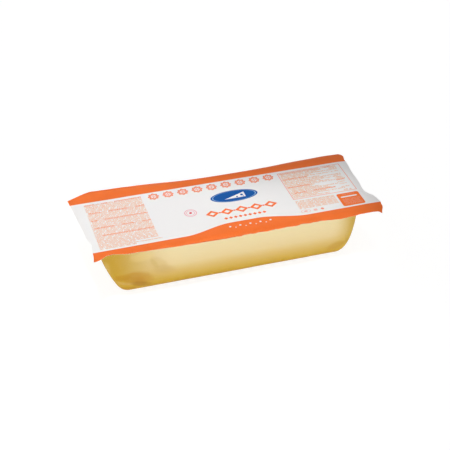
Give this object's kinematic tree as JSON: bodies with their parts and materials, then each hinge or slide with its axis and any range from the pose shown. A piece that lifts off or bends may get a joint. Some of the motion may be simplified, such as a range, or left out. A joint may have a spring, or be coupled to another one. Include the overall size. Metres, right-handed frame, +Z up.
{
  "type": "vacuum-packed cheese loaf",
  "caption": "Loaf of smoked cheese in a clear formed vacuum pocket, sealed by a printed lid film whose loose rim waves and droops past the loaf; it lies on its flat base.",
  "frame": {"origin": "centre of the pack's outline, on the flat base it lies on", "axes": "+X along the loaf, to the right as seen from the front; +Y to the back; +Z up through the lid film"},
  "size_m": [0.2673, 0.1062, 0.0524],
  "materials": {
    "cheese": "smooth pale yellow smoked cheese, golden along the base edge, seen through clear film",
    "clear_film": "clear formed vacuum film, satin gloss",
    "printed_film": null
  },
  "bodies": {
    "root": {"cheese_pocket": "cheese", "lid_film": "printed_film"}
  },
  "joints": []
}
